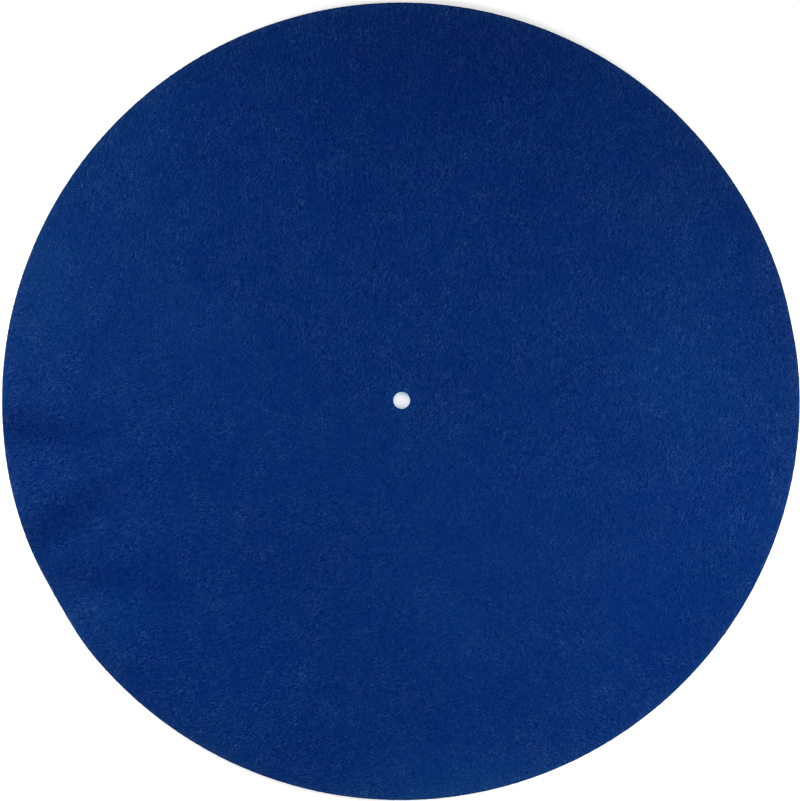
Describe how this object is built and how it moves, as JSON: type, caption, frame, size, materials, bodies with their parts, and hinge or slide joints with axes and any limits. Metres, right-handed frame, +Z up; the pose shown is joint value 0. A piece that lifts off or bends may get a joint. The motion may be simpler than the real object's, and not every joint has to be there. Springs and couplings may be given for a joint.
{
  "type": "turntable platter mat",
  "caption": "Thin round felt mat with a small punched spindle hole, laid on a record player's platter under the record.",
  "frame": {"origin": "underside of the mat, under the middle of its round outline", "axes": "+Z up out of the top face, the side the record lies on; +X and +Y lie in the underside, +Y towards the top of the picture"},
  "size_m": [0.3, 0.3, 0.003],
  "materials": {
    "blue_felt": "matt pressed wool felt, deep blue, with a fine short-fibred surface"
  },
  "bodies": {
    "root": {"felt_mat": "blue_felt"}
  },
  "joints": []
}
